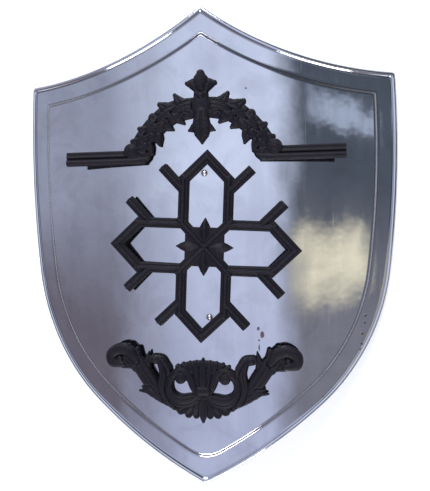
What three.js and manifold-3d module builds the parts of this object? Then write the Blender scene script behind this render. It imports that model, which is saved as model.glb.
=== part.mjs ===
// A heater shield: a bowed steel plate with a rolled rim and a raised panel, three iron castings
// on its face (a leaf arch, a lattice cross and an acanthus scroll), and a strap grip behind,
// held by two rivets. Millimetres. +X across the shield, +Y up to the apex, +Z out of the face.
// The shield lies on its back: the lowest points of the rim are at z = 0.

import * as THREE from 'three';
import { mergeVertices } from 'three/addons/utils/BufferGeometryUtils.js';
import Module from 'manifold-3d';

const wasm = await Module();
wasm.setup();

// ---- Plate outline ----
const HEIGHT = 610; // apex to point
const HALF_WIDTH = 247; // centre line to the widest part of a side
const SHOULDER_Y = 222; // the shoulders, above the middle of the height
const SIDE_RADIUS = 1330; // the nearly straight upper sides
const SIDE_CENTRE_Y = 124;
const SIDE_SWEEP = THREE.MathUtils.degToRad(6.7); // below the widest part, where the hip begins
const HIP_RADIUS = 273;
const HIP_END = THREE.MathUtils.degToRad(48.4); // where the hip gives way to the lower edge

// ---- Plate section ----
const BOW_RADIUS = 680; // the plate is bowed about its long axis
const SHEET = 1.5; // sheet thickness
const BEAD_RADIUS = 3; // rolled edge
const BORDER = 30.6; // outer edge to the raised panel
const STEP_RUN = 3.6; // width of the slope up to the panel
const STEP_RISE = 3;
const BEAD_SWEEP = 0.84 * Math.PI; // how far the roll is wrapped round, front and back
const POINT_ROUND = 22; // how far up its edges the panel's lower corner is rounded

// ---- Mesh steps of the plate ----
const STEPS = { top: 11, side: 3, hip: 7, lower: 4, point: 2, across: 12, bead: 3 };

// ---- Fit ----
const GAP = 0.3; // between pieces that touch

// ---- Castings ----
const CROSS = {
  x: 2,
  y: 2,
  turn: THREE.MathUtils.degToRad(-2.6),
  track: 28.8, // centre line of an arm's bars, from the arm's middle
  bend: 85, // where a bar bends in to the pointed end
  bar: 13, // width of the lattice bars
  stub: 11.5,
  stubFrom: 71,
  stubRun: 28.6, // each stub's reach along X and along Y
  spike: 37, // centre to the star's points
  spikeWidths: [7.5, 7, 0.4],
  spikeHeights: [10, 7.5, 3],
  hub: { radius: 24, wall: 4.8, rise: 3.4 },
};
const ARCH = {
  x: 1.5,
  y: 0,
  turn: THREE.MathUtils.degToRad(0.4),
  barEnd: 177.5,
  barFoot: 80, // where the straight bars run in under the garland
  barY: 117.5,
  boss: { x: 91, y: 126, radius: 6.8, wall: 5, rise: 3.5 },
};
const SCROLL = { x: -1.7, y: 0 };

// ---- Grip and rivets ----
const GRIP = {
  x: 5.2,
  y: 4,
  turn: THREE.MathUtils.degToRad(1.4),
  reach: 91.5, // middle to each rivet
  foot: 15, // rivet to the end of the foot, and to its bend
  depth: 30, // how far the hand bar stands off the feet
  slope: 14, // length over which the strap bends away
  width: 26,
  thickness: 3,
};
const RIVET = { head: 3.2, rise: 2, shank: 2.4, tail: 4.2, tailRise: 2.2 };
const ROUND = 16; // facets round a rivet or boss
const DRILL = 200; // longer than the shield is deep

const IRON = { color: 0x1d1a1f, roughness: 0.62, metalness: 0.55 };
const STEEL = { color: 0x9aa0ae, roughness: 0.22, metalness: 1 };

// ------------------------------------------------------------------ solids

function toManifold(geometry) {
  const bare = geometry.clone();
  bare.deleteAttribute('normal');
  bare.deleteAttribute('uv');
  const merged = mergeVertices(bare, 1e-4);
  return new wasm.Manifold(new wasm.Mesh({
    numProp: 3,
    vertProperties: new Float32Array(merged.attributes.position.array),
    triVerts: new Uint32Array(merged.index.array),
  }));
}

function fromManifold(solid) {
  const mesh = solid.getMesh();
  const geometry = new THREE.BufferGeometry();
  geometry.setAttribute('position', new THREE.BufferAttribute(mesh.vertProperties, 3));
  geometry.setIndex(new THREE.BufferAttribute(mesh.triVerts, 1));
  geometry.computeVertexNormals();
  return geometry;
}

function joined(geometries) {
  const [first, ...rest] = geometries.map(toManifold);
  return rest.reduce((whole, solid) => whole.add(solid), first);
}

function fromLists(points, index) {
  const geometry = new THREE.BufferGeometry();
  const flat = points.flatMap((p) => [p.x, p.y, p.z]);
  geometry.setAttribute('position', new THREE.Float32BufferAttribute(flat, 3));
  geometry.setIndex(index);
  return geometry;
}

// Joins equal sections, each a loop that runs anticlockwise seen along the path, into one solid.
function loft(sections, closed) {
  const count = sections[0].length;
  const spans = closed ? sections.length : sections.length - 1;
  const index = [];
  for (let row = 0; row < spans; row += 1) {
    const here = row * count;
    const next = ((row + 1) % sections.length) * count;
    for (let k = 0; k < count; k += 1) {
      const after = (k + 1) % count;
      index.push(here + k, next + k, next + after, here + k, next + after, here + after);
    }
  }
  if (!closed) {
    const last = (sections.length - 1) * count;
    const flat = sections[0].map((p) => p.clone().sub(sections[0][0]));
    const side = flat[1].clone().normalize();
    const loop = flat.map((p) => new THREE.Vector2(p.dot(side), p.z));
    for (const [a, b, c] of THREE.ShapeUtils.triangulateShape(loop, [])) {
      index.push(a, b, c, last + a, last + c, last + b);
    }
  }
  return fromLists(sections.flat(), index);
}

// One section at a point of a path: the profile's first number runs to the right of the path.
function sectionAt(point, along, profile, stretch) {
  const right = new THREE.Vector3(along.y, -along.x, 0).multiplyScalar(stretch);
  return profile.map(([u, z]) => new THREE.Vector3(point.x, point.y, z).addScaledVector(right, u));
}

// A moulding of constant profile with mitred corners.
function moulding(corners, profile, closed = false) {
  const points = corners.map(([x, y]) => new THREE.Vector3(x, y, 0));
  const count = points.length;
  const sections = points.map((point, k) => {
    const first = !closed && k === 0;
    const last = !closed && k === count - 1;
    const before = points[(k - 1 + count) % count];
    const after = points[(k + 1) % count];
    const into = first ? after.clone().sub(point) : point.clone().sub(before);
    const out = last ? into.clone() : after.clone().sub(point);
    const along = into.normalize().clone().add(out.normalize()).normalize();
    return sectionAt(point, along, profile, 1 / along.dot(into));
  });
  return loft(sections, closed);
}

// Reads a short list of sizes, spread evenly along a path, at t from 0 to 1.
function sizeAt(sizes, t) {
  const place = t * (sizes.length - 1);
  const low = Math.min(Math.floor(place), sizes.length - 2);
  return THREE.MathUtils.lerp(sizes[low], sizes[low + 1], place - low);
}

// A carved leaf or stem: a roofed section that swells and tapers along a curve.
function blade(points, halfWidths, heights, steps = 7) {
  const curve = new THREE.CatmullRomCurve3(points.map(([x, y]) => new THREE.Vector3(x, y, 0)));
  const sections = [];
  for (let k = 0; k <= steps; k += 1) {
    const t = k / steps;
    const w = sizeAt(halfWidths, t);
    const h = sizeAt(heights, t);
    const profile = [[-w, 0], [w, 0], [w, 0.55 * h], [0, h], [-w, 0.55 * h]];
    sections.push(sectionAt(curve.getPoint(t), curve.getTangent(t), profile, 1));
  }
  return loft(sections, false);
}

function dome(x, y, { radius, wall, rise }) {
  const profile = [new THREE.Vector2(0, 0), new THREE.Vector2(radius, 0)];
  for (let k = 0; k <= 3; k += 1) {
    const angle = (k / 3) * (Math.PI / 2);
    const across = k === 3 ? 0 : radius * Math.cos(angle);
    profile.push(new THREE.Vector2(across, wall + rise * Math.sin(angle)));
  }
  const geometry = new THREE.LatheGeometry(profile, ROUND);
  geometry.rotateX(Math.PI / 2);
  geometry.translate(x, y, 0);
  return geometry;
}

const mirrored = (points) => points.map(([x, y]) => [-x, y]);

// A shape and its twin across the centre line.
const pair = (points, ...sizes) => [blade(points, ...sizes), blade(mirrored(points), ...sizes)];

// ------------------------------------------------------------------ plate

// The hollow upper edges are arcs centred straight above the shoulders.
const topRise = HEIGHT / 2 - SHOULDER_Y;
const topArc = { radius: (HALF_WIDTH ** 2 + topRise ** 2) / (2 * topRise) };
topArc.centre = new THREE.Vector2(HALF_WIDTH, SHOULDER_Y + topArc.radius);

// The side runs on into the hip, and the hip into the lower edge, each tangent to the next.
const onArc = (arc, angle, inset) => new THREE.Vector2(
  arc.centre.x + (arc.radius - inset) * Math.cos(angle),
  arc.centre.y - (arc.radius - inset) * Math.sin(angle),
);
const inwards = (angle) => new THREE.Vector2(-Math.cos(angle), Math.sin(angle));
const sideArc = { radius: SIDE_RADIUS };
sideArc.centre = new THREE.Vector2(HALF_WIDTH - SIDE_RADIUS, SIDE_CENTRE_Y);
const hipArc = { radius: HIP_RADIUS };
hipArc.centre = onArc(sideArc, SIDE_SWEEP, 0).addScaledVector(inwards(SIDE_SWEEP), HIP_RADIUS);
const hipEnd = onArc(hipArc, HIP_END, 0);
const toPoint = new THREE.Vector2(0, -HEIGHT / 2).sub(hipEnd);
const lowerArc = { radius: toPoint.lengthSq() / (2 * toPoint.dot(inwards(HIP_END))) };
lowerArc.centre = hipEnd.clone().addScaledVector(inwards(HIP_END), lowerArc.radius);

function shoulderAt(inset) {
  const outer = topArc.radius + inset;
  const inner = SIDE_RADIUS - inset;
  const between = sideArc.centre.clone().sub(topArc.centre);
  const span = between.length();
  const along = (outer ** 2 - inner ** 2 + span ** 2) / (2 * span);
  const off = Math.sqrt(outer ** 2 - along ** 2);
  const unit = between.divideScalar(span);
  const foot = topArc.centre.clone().addScaledVector(unit, along);
  return foot.add(new THREE.Vector2(-unit.y, unit.x).multiplyScalar(off));
}

function arcBetween(centre, from, to, steps) {
  const a = from.clone().sub(centre);
  const b = to.clone().sub(centre);
  const sweep = Math.atan2(a.cross(b), a.dot(b));
  const points = [];
  for (let k = 1; k <= steps; k += 1) {
    points.push(from.clone().rotateAround(centre, (sweep * k) / steps));
  }
  return points;
}

// Half of a rounded corner on the centre line, from where the rounding starts to the middle.
function cornerBetween(from, corner, steps) {
  const across = new THREE.Vector2(-from.x, from.y);
  const curve = new THREE.QuadraticBezierCurve(from, corner, across);
  const points = [];
  for (let k = 1; k <= steps; k += 1) {
    points.push(curve.getPoint(k / (2 * steps)));
  }
  points[steps - 1].x = 0;
  return points;
}

// Right half of the outline set in by a distance, from the apex down to the point.
function halfRing(inset) {
  const top = topArc.radius + inset;
  const low = lowerArc.radius - inset;
  const apexY = topArc.centre.y - Math.sqrt(top ** 2 - topArc.centre.x ** 2);
  const pointY = lowerArc.centre.y - Math.sqrt(low ** 2 - lowerArc.centre.x ** 2);
  const apex = new THREE.Vector2(0, apexY);
  const shoulder = shoulderAt(inset);
  const sideEnd = onArc(sideArc, SIDE_SWEEP, inset);
  const bendEnd = onArc(hipArc, HIP_END, inset);
  const point = new THREE.Vector2(0, pointY);
  const cut = (POINT_ROUND * inset) / BORDER;
  const roundFrom = point.clone().rotateAround(lowerArc.centre, cut / low);
  return [
    apex,
    ...arcBetween(topArc.centre, apex, shoulder, STEPS.top),
    ...arcBetween(sideArc.centre, shoulder, sideEnd, STEPS.side),
    ...arcBetween(hipArc.centre, sideEnd, bendEnd, STEPS.hip),
    ...arcBetween(lowerArc.centre, bendEnd, roundFrom, STEPS.lower),
    ...cornerBetween(roundFrom, point, STEPS.point),
  ];
}

// A point on the bowed sheet's middle surface, raised along the surface's normal.
const springing = Math.sqrt(BOW_RADIUS ** 2 - HALF_WIDTH ** 2);
function onBow(x, y, raise) {
  const fall = Math.sqrt(BOW_RADIUS ** 2 - x ** 2);
  const share = (BOW_RADIUS + raise) / BOW_RADIUS;
  return new THREE.Vector3(x * share, y, fall * share - springing);
}

// The section from the edge to the panel, as [inset, height above the middle surface].
function faceSection() {
  const rows = [];
  for (let k = 0; k <= STEPS.bead; k += 1) {
    const angle = Math.PI - (k / STEPS.bead) * BEAD_SWEEP;
    rows.push([BEAD_RADIUS * (1 + Math.cos(angle)), BEAD_RADIUS * Math.sin(angle)]);
  }
  rows.push([BORDER - STEP_RUN, SHEET / 2], [BORDER, SHEET / 2 + STEP_RISE]);
  return rows;
}
function backSection() {
  const inner = BORDER - SHEET / 3;
  const rows = [[inner, STEP_RISE - SHEET / 2], [inner - STEP_RUN, -SHEET / 2]];
  for (let k = STEPS.bead; k >= 1; k -= 1) {
    const angle = Math.PI + (k / STEPS.bead) * BEAD_SWEEP;
    rows.push([BEAD_RADIUS * (1 + Math.cos(angle)), BEAD_RADIUS * Math.sin(angle)]);
  }
  return rows;
}

function plateGeometry() {
  const face = faceSection();
  const back = backSection();
  const points = [];
  const index = [];
  const half = halfRing(0).length;
  const around = 2 * half - 2;

  // Rings of points, clockwise from the apex seen from the front.
  for (const [inset, raise] of [...face, ...back]) {
    const right = halfRing(inset).map((p) => onBow(p.x, p.y, raise));
    const left = right.slice(1, -1).reverse().map((p) => new THREE.Vector3(-p.x, p.y, p.z));
    points.push(...right, ...left);
  }
  const rings = face.length + back.length;
  for (let ring = 0; ring < rings; ring += 1) {
    if (ring === face.length - 1) {
      continue;
    }
    const here = ring * around;
    const next = ((ring + 1) % rings) * around;
    for (let k = 0; k < around; k += 1) {
      const after = (k + 1) % around;
      index.push(here + k, next + after, here + after, here + k, next + k, next + after);
    }
  }

  // The panel inside the last ring: a row of columns across the bow for each pair of points.
  const fillPanel = (ring, raise, inset, facesUp) => {
    const start = ring * around;
    const row = halfRing(inset).map((p, k) => {
      const rightIndex = start + k;
      const leftIndex = start + ((around - k) % around);
      if (rightIndex === leftIndex) {
        return [rightIndex];
      }
      const cells = [leftIndex];
      for (let c = 1; c < STEPS.across; c += 1) {
        points.push(onBow(p.x * ((2 * c) / STEPS.across - 1), p.y, raise));
        cells.push(points.length - 1);
      }
      return [...cells, rightIndex];
    });
    for (let k = 0; k < half - 1; k += 1) {
      const upper = row[k];
      const lower = row[k + 1];
      for (let c = 0; c < STEPS.across; c += 1) {
        const [a, b] = upper.length === 1 ? [upper[0], upper[0]] : [upper[c], upper[c + 1]];
        const [d, e] = lower.length === 1 ? [lower[0], lower[0]] : [lower[c], lower[c + 1]];
        const faces = [[a, d, e], [a, e, b]].filter((f) => new Set(f).size === 3);
        faces.forEach(([p, q, r]) => index.push(...(facesUp ? [p, q, r] : [p, r, q])));
      }
    }
  };
  const [faceInset, faceRaise] = face[face.length - 1];
  const [backInset, backRaise] = back[0];
  fillPanel(face.length - 1, faceRaise, faceInset, true);
  fillPanel(face.length, backRaise, backInset, false);
  return fromLists(points, index);
}

// ------------------------------------------------------------------ castings, backs at z = 0

// Half-profiles are written from the edge to the middle and mirrored.
function ribbed(width, edge, web, rib, top) {
  const w = width / 2;
  return [
    [-w, 0], [w, 0], [w, edge], [rib + 1, web], [rib, top], [-rib, top], [-rib - 1, web], [-w, edge],
  ];
}

function crossSolid() {
  const { track, bend, spike, spikeWidths, spikeHeights, hub, stubFrom, stubRun } = CROSS;
  const barProfile = ribbed(CROSS.bar, 3.6, 4.8, 1.6, 7);
  const stubProfile = ribbed(CROSS.stub, 3.6, 4.8, 1.6, 7);
  const quarter = [[-track, track], [-track, bend], [0, bend + track], [track, bend]];
  const outline = [];
  const parts = [dome(0, 0, hub)];
  for (let arm = 0; arm < 4; arm += 1) {
    const angle = (-arm * Math.PI) / 2;
    const turned = ([x, y]) => {
      const p = new THREE.Vector2(x, y).rotateAround(new THREE.Vector2(), angle);
      return [p.x, p.y];
    };
    outline.push(...quarter.map(turned));
    for (const side of [-1, 1]) {
      const stub = [[side * track, stubFrom], [side * (track + stubRun), stubFrom + stubRun]];
      parts.push(moulding(stub.map(turned), stubProfile));
    }
    parts.push(moulding([[0, 0], [track, track]].map(turned), stubProfile));
    const point = [[0, 0], [0, spike / 2], [0, spike]];
    parts.push(blade(point.map(turned), spikeWidths, spikeHeights, 4));
  }
  return joined([moulding(outline, barProfile, true), ...parts]);
}

function archSolid() {
  const { barEnd, barFoot, barY, boss } = ARCH;
  const barProfile = [
    [-9, 0], [9, 0], [9, 4], [6.4, 6.8], [2.6, 6.8], [0.4, 3.6], [-0.8, 5.6], [-3, 5.6], [-4.4, 4], [-9, 4],
  ];
  const parts = [moulding([[-barEnd, barY], [-barFoot, barY]], barProfile)];
  parts.push(moulding([[barFoot, barY], [barEnd, barY]], barProfile));
  for (const side of [-1, 1]) {
    parts.push(dome(side * boss.x, boss.y, boss));
  }

  // The band of the garland, then leaves from the band to each tip of its ragged outline.
  const band = [[82, 117], [74, 140], [59, 161], [33, 176], [0, 179]];
  parts.push(...pair(band, [9, 11, 11, 10.5, 10], [6.4, 7, 7.4, 7.6, 8], 8));
  const outerLeaves = [
    [[80, 126], [98, 134]],
    [[76, 133], [94, 146]],
    [[70, 140], [86, 157]],
    [[60, 152], [70, 172]],
    [[48, 163], [57, 186]],
    [[22, 172], [36, 196]],
  ];
  const innerLeaves = [
    [[82, 128], [66, 122]],
    [[74, 142], [55, 130]],
    [[56, 160], [37, 151]],
    [[38, 172], [22, 157]],
  ];
  for (const [from, tip] of [...outerLeaves, ...innerLeaves]) {
    parts.push(...pair([from, tip], [6.5, 7.5, 0.5], [8.4, 7.6, 3.6], 2));
  }

  // Finial above the crown and pendant below it, each a bud between two petals.
  parts.push(blade([[0, 183], [0, 200], [0, 216], [0, 224.5]], [9, 6.5, 8, 2.4], [8, 7, 9, 4.5], 6));
  parts.push(...pair([[0, 192], [10, 202], [20, 209.5]], [7.5, 7.5, 2], [7, 7.4, 4.4], 5));
  parts.push(blade([[0, 172], [0, 160], [0, 148], [0, 132]], [7, 8.5, 8.5, 0.6], [7.6, 8, 8.4, 3.4], 6));
  parts.push(...pair([[0, 157], [8, 151], [16.5, 148.5]], [6.5, 4.5, 0.6], [6.6, 6.2, 3.4], 4));
  return joined(parts);
}

function scrollSolid() {
  const parts = [];
  // Outer stem, rising to its volute.
  const stem = [[30, -198], [60, -182], [82, -163], [95, -147], [103, -132]];
  parts.push(...pair(stem, [6, 8, 9, 9.5, 8], [6.5, 7.5, 8, 8.5, 8], 6));
  const volute = [[97, -127], [110, -125.5], [119.5, -134], [115, -142.5], [106, -142]];
  parts.push(...pair(volute, [6.5, 7, 7, 6, 4], [8, 8.5, 8.5, 8.5, 8.8], 8));
  parts.push(...pair([[110, -144], [100, -146], [89, -152]], [5, 6, 2.4], [6, 6, 4.5], 3));
  parts.push(...pair([[92, -150], [90, -136], [86, -124]], [8, 8, 3], [7.5, 7.5, 5], 3));
  // Leaf that falls away below the stem.
  parts.push(...pair([[46, -192], [66, -185], [84, -184]], [7, 7, 0.8], [6.5, 6, 3.5], 4));
  // Inner leaf, curling out over a drop-shaped eye to a spike beside the stem.
  const inner = [[44, -194], [49, -174], [47, -154], [54, -140], [64, -138]];
  parts.push(...pair(inner, [6, 6.5, 7.4, 6.4, 5], [7, 8, 8.5, 7.5, 6], 7));
  parts.push(...pair([[74, -160], [71, -146], [70, -131]], [6, 7, 0.8], [7.4, 7, 4], 3));
  // C-scroll round its open eye, with a drop hanging into the eye.
  const scroll = [[5, -184], [10, -168], [20, -157], [33, -157.5], [43, -168], [43, -183],
    [32, -193.5], [17, -191], [6, -184]];
  const scrollWidth = [5, 6.4, 6.4, 5.6, 4.6, 5, 6.4, 6.6, 5];
  parts.push(...pair(scroll, scrollWidth, [8, 8, 7.6, 7, 7, 7.4, 8, 8, 8], 14));
  parts.push(...pair([[28, -160], [27, -166], [27, -171]], [7, 6.5, 4], [7.5, 8, 6], 3));
  // Crown leaves over the middle.
  parts.push(blade([[0, -180], [0, -158], [0, -140]], [8, 7.5, 1], [8.6, 8, 4], 3));
  parts.push(...pair([[4, -174], [9, -158], [12.5, -145]], [5, 5.4, 1.2], [8, 7.4, 4], 3));
  parts.push(...pair([[8, -168], [16, -157], [24, -149]], [5, 5, 1.6], [7.6, 7, 4.4], 3));
  // Band round the waist and the flutes of the shell below it.
  parts.push(blade([[-10, -182], [0, -180], [10, -182]], [4.5, 5.5, 4.5], [9, 10, 9], 4));
  parts.push(blade([[0, -184], [0, -204], [0, -224.5]], [5, 7, 0.8], [8.6, 8, 4], 3));
  const flutes = [[12, -218], [25, -214.5], [37, -207]];
  flutes.forEach(([x, y], k) => {
    const start = [2 + 4 * k, -186 - k];
    const middle = [0.62 * x, start[1] * 0.42 + y * 0.58];
    parts.push(...pair([start, middle, [x, y]], [5, 7, 4.4], [8.4 - 0.3 * k, 7.6, 4.4], 3));
  });
  return joined(parts);
}

// ------------------------------------------------------------------ grip and rivets

// The strap seen from the side, as [along, down] of its middle line, from one foot to the other.
function gripGeometry(backZ) {
  const { reach, foot, depth, slope, width, thickness } = GRIP;
  const bend = reach - foot;
  const corners = [[-reach - foot, 0], [-bend, 0], [-bend + slope, depth], [bend - slope, depth],
    [bend, 0], [reach + foot, 0]];
  const t = thickness;
  const lean = Math.tan(Math.atan2(depth, slope) / 2) * t;
  const shape = new THREE.Shape();
  shape.moveTo(corners[0][0], 0);
  shape.lineTo(corners[1][0], 0);
  shape.lineTo(corners[2][0], -depth);
  shape.lineTo(corners[3][0], -depth);
  shape.lineTo(corners[4][0], 0);
  shape.lineTo(corners[5][0], 0);
  shape.lineTo(corners[5][0], -t);
  shape.lineTo(corners[4][0] + lean, -t);
  shape.lineTo(corners[3][0] + lean, -depth - t);
  shape.lineTo(corners[2][0] - lean, -depth - t);
  shape.lineTo(corners[1][0] - lean, -t);
  shape.lineTo(corners[0][0], -t);
  const geometry = new THREE.ExtrudeGeometry(shape, { depth: width, bevelEnabled: false });
  geometry.translate(0, 0, -width / 2);
  geometry.rotateY(-Math.PI / 2);
  geometry.rotateX(Math.PI / 2);
  geometry.rotateZ(Math.PI);
  geometry.rotateZ(GRIP.turn);
  geometry.translate(GRIP.x, GRIP.y, backZ);
  return geometry;
}

function rivetGeometry(x, y, headZ, tailZ) {
  const { head, rise, shank, tail, tailRise } = RIVET;
  const profile = [];
  for (let k = 0; k <= 3; k += 1) {
    const angle = (k / 3) * (Math.PI / 2);
    const across = k === 0 ? 0 : tail * Math.sin(angle);
    profile.push(new THREE.Vector2(across, tailZ - tailRise * Math.cos(angle)));
  }
  profile.push(new THREE.Vector2(shank, tailZ), new THREE.Vector2(shank, headZ));
  for (let k = 0; k <= 3; k += 1) {
    const angle = (k / 3) * (Math.PI / 2);
    const across = k === 3 ? 0 : head * Math.cos(angle);
    profile.push(new THREE.Vector2(across, headZ + rise * Math.sin(angle)));
  }
  const geometry = new THREE.LatheGeometry(profile, ROUND);
  geometry.rotateX(Math.PI / 2);
  geometry.translate(x, y, 0);
  return geometry;
}

function hole(x, y, radius) {
  const geometry = new THREE.CylinderGeometry(radius, radius, DRILL, ROUND);
  geometry.rotateX(Math.PI / 2);
  geometry.translate(x, y, 0);
  return toManifold(geometry);
}

// ------------------------------------------------------------------ assembly

const plate = plateGeometry();
plate.computeBoundingBox();
const lift = -plate.boundingBox.min.z;
plate.translate(0, 0, lift);

const crestFront = lift + BOW_RADIUS - springing + STEP_RISE + SHEET / 2;
const crestBack = crestFront - SHEET;
const strapDrop = 0.6; // the bow falls away this much over the strap
const stripTop = crestBack - GAP - strapDrop;

const rivets = [1, -1].map((side) => {
  const place = new THREE.Vector2(0, side * GRIP.reach).rotateAround(new THREE.Vector2(), GRIP.turn);
  return place.add(new THREE.Vector2(GRIP.x, GRIP.y));
});
let plateSolid = toManifold(plate);
let gripSolid = toManifold(gripGeometry(stripTop));
for (const { x, y } of rivets) {
  plateSolid = plateSolid.subtract(hole(x, y, RIVET.shank + GAP));
  gripSolid = gripSolid.subtract(hole(x, y, RIVET.shank + GAP));
}

const group = new THREE.Group();

function add(name, geometry, finish, place = {}) {
  const mesh = new THREE.Mesh(geometry, new THREE.MeshStandardMaterial(finish));
  mesh.name = name;
  mesh.position.set(place.x ?? 0, place.y ?? 0, place.z ?? 0);
  mesh.rotation.z = place.turn ?? 0;
  group.add(mesh);
}

const onFace = { z: crestFront + GAP };
add('shield_plate', fromManifold(plateSolid), STEEL);
add('arch_ornament', fromManifold(archSolid()), IRON, { ...ARCH, ...onFace });
add('cross_ornament', fromManifold(crossSolid()), IRON, { ...CROSS, ...onFace });
add('scroll_ornament', fromManifold(scrollSolid()), IRON, { ...SCROLL, ...onFace });
add('grip_strap', fromManifold(gripSolid), { ...STEEL, roughness: 0.4 });
['upper_rivet', 'lower_rivet'].forEach((name, k) => {
  const { x, y } = rivets[k];
  const tailZ = stripTop - GRIP.thickness - GAP;
  add(name, rivetGeometry(x, y, crestFront + GAP, tailZ), { ...STEEL, roughness: 0.35 });
});

export default group;
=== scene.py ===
"""The finish of a heater shield: pressed and bowed steel plate with a rolled edge, three black iron
castings on its face, a strap grip behind and the two rivets that hold it.

Sizes are in millimetres until a mesh is made. +X is across the shield, +Y up to the apex, +Z out of
its face, and the shield lies on its back.
"""

import math

import bpy
import numpy as np
from mathutils import Matrix, Vector


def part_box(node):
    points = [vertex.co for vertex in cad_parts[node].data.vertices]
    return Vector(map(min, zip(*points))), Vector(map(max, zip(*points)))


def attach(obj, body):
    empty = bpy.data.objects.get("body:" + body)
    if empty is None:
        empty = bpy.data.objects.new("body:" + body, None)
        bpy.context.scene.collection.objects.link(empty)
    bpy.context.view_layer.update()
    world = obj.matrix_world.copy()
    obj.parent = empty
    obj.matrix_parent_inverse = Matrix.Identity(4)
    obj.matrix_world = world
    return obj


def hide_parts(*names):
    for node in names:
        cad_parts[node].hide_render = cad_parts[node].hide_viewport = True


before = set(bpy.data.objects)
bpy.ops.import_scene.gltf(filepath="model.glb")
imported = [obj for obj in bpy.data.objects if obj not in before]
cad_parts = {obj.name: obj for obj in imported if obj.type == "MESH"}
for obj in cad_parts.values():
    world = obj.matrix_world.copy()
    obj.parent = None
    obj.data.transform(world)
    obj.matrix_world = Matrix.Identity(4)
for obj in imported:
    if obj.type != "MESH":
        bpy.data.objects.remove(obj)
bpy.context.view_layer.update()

MM = 0.001

# ---------------------------------------------------------------- driving sizes, in millimetres

HEIGHT = 610.0
HALF_WIDTH = 247.0
SHOULDER_Y = 222.0
SIDE_RADIUS = 1330.0
SIDE_CENTRE_Y = 124.0
SIDE_SWEEP = math.radians(6.7)
HIP_RADIUS = 273.0
HIP_END = math.radians(48.4)

BOW_RADIUS = 680.0
SHEET = 1.5
BEAD = 3.0            # radius of the rolled edge
BEAD_GAP = 0.10 * math.pi     # angle left open between the roll and the sheet, above and below
CREASE = 6.5          # outer edge to where the roll meets the border
BORDER = 30.6         # outer edge to the panel
LAND = [8.5, 13.0, 18.0, 22.5]      # rows across the flat border
STEP_RUN = 4.6        # width of the pressed slope up to the panel
STEP_RISE = 3.0
PANEL_EDGE = BORDER + 2.0

APEX_ROUND = (1.6, 2.5)       # how far back each corner is rounded, at the edge and at the panel
SHOULDER_ROUND = (4.0, 3.0)
POINT_ROUND = (2.2, 24.0)

# How finely the plate is drawn: along its top edge and side, round its corners, round the rolled
# edge, and across the panel.
TOP_STEPS, SIDE_STEPS = 84, 176
APEX_STEPS, SHOULDER_STEPS, POINT_STEPS = 5, 8, 9
BEAD_STEPS, PANEL_STEPS = 10, 84

WAVINESS = 0.44       # from the lowest to the highest that the sheet strays from a true bow
WAVE_LENGTH = 95.0

SPRINGING = math.sqrt(BOW_RADIUS ** 2 - HALF_WIDTH ** 2)


def top_of(node):
    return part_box(node)[1].z / MM


def back_of(node):
    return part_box(node)[0].z / MM


CREST = top_of("shield_plate")
LIFT = CREST - (BOW_RADIUS - SPRINGING + STEP_RISE + SHEET / 2)

ARCH_PLACE = {"x": 1.5, "y": 0.0, "turn": math.radians(0.4)}
CROSS_PLACE = {"x": 2.0, "y": 2.0, "turn": math.radians(-2.6)}
SCROLL_PLACE = {"x": -1.7, "y": 0.0, "turn": 0.0}

GRIP = {"x": 5.2, "y": 4.0, "turn": math.radians(1.4), "reach": 91.5, "foot": 15.0,
        "depth": 30.0, "slope": 14.0, "width": 26.0, "thickness": 3.0, "bend": 5.0, "edge": 0.9}
GRIP_ENDS = (0.80, 0.90, 0.96, 0.99)      # width at the first rows of each foot, clipped round
GRIP_ROWS = 150
EDGE_STEPS = 4        # steps round each eased edge of the strap
RIVET = {"head": 3.2, "rise": 2.0, "shank": 2.4, "tail": 4.2, "tail_rise": 2.2, "lip": 0.05}
DOME_STEPS = 8        # steps from foot to top of a rivet's dome
RIVETS = [(GRIP["x"] - side * GRIP["reach"] * math.sin(GRIP["turn"]),
           GRIP["y"] + side * GRIP["reach"] * math.cos(GRIP["turn"])) for side in (1, -1)]


# ---------------------------------------------------------------- meshes

def make_mesh(name, points, faces, sharp=math.radians(52)):
    """A smooth-shaded mesh object from points in millimetres."""
    mesh = bpy.data.meshes.new(name)
    mesh.from_pydata((np.asarray(points, float) * MM).tolist(), [], faces)
    mesh.validate()
    mesh.shade_smooth()
    mesh.set_sharp_from_angle(angle=sharp)
    made = bpy.data.objects.new(name, mesh)
    bpy.context.scene.collection.objects.link(made)
    return made


def mark(piece, name, values):
    """Keeps a number for each point, for its material to read."""
    made = piece.data.attributes.new(name, "FLOAT", "POINT")
    made.data.foreach_set("value", np.asarray(values, np.float32))


def settle(points, place, z):
    """Turns and moves a piece drawn about its own middle to where it sits on the shield."""
    c, s = math.cos(place["turn"]), math.sin(place["turn"])
    x = c * points[:, 0] - s * points[:, 1] + place["x"]
    y = s * points[:, 0] + c * points[:, 1] + place["y"]
    return np.stack([x, y, points[:, 2] + z], axis=1)


def finish_piece(piece, material, slot, *nodes):
    piece.data.materials.clear()
    piece.data.materials.append(material)
    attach(piece, "root")
    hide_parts(*nodes)


# ---------------------------------------------------------------- outline of the plate

def on_arc(centre, radius, angle):
    return centre + radius * np.array([math.cos(angle), -math.sin(angle)])


def inwards(angle):
    return np.array([-math.cos(angle), math.sin(angle)])


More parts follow.
